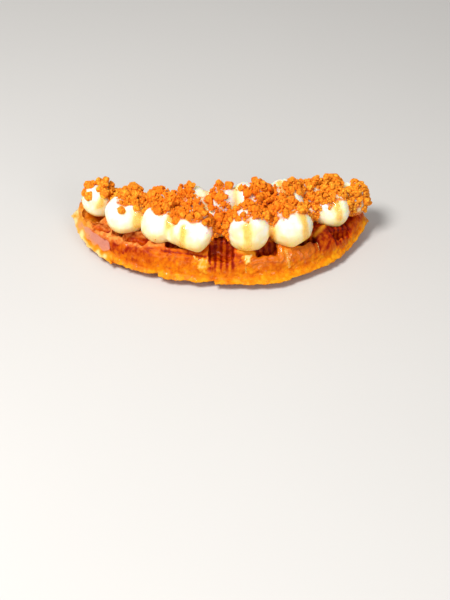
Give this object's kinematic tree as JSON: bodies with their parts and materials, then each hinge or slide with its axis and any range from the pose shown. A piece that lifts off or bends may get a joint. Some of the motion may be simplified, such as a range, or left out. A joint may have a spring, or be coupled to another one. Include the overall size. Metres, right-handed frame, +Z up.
{
  "type": "croffle",
  "caption": "Crescent of croissant dough pressed in a waffle iron, topped with two rows of piped cream and biscuit crumbs.",
  "frame": {"origin": "under the middle of the croffle's box, on the surface it rests on", "axes": "+X along the crescent from the left tip to the right tip, -Y towards the bulging side, +Z up"},
  "size_m": [0.1541, 0.0644, 0.0396],
  "materials": {
    "baked_crust": "glazed, caramelised laminated crust",
    "whipped_cream": "smooth piped cream",
    "biscuit_crumbs": "rough crushed biscuit",
    "caramel_sauce": "wet, thin golden sauce"
  },
  "bodies": {
    "root": {"pastry": "baked_crust", "cream": "whipped_cream"}
  },
  "joints": []
}
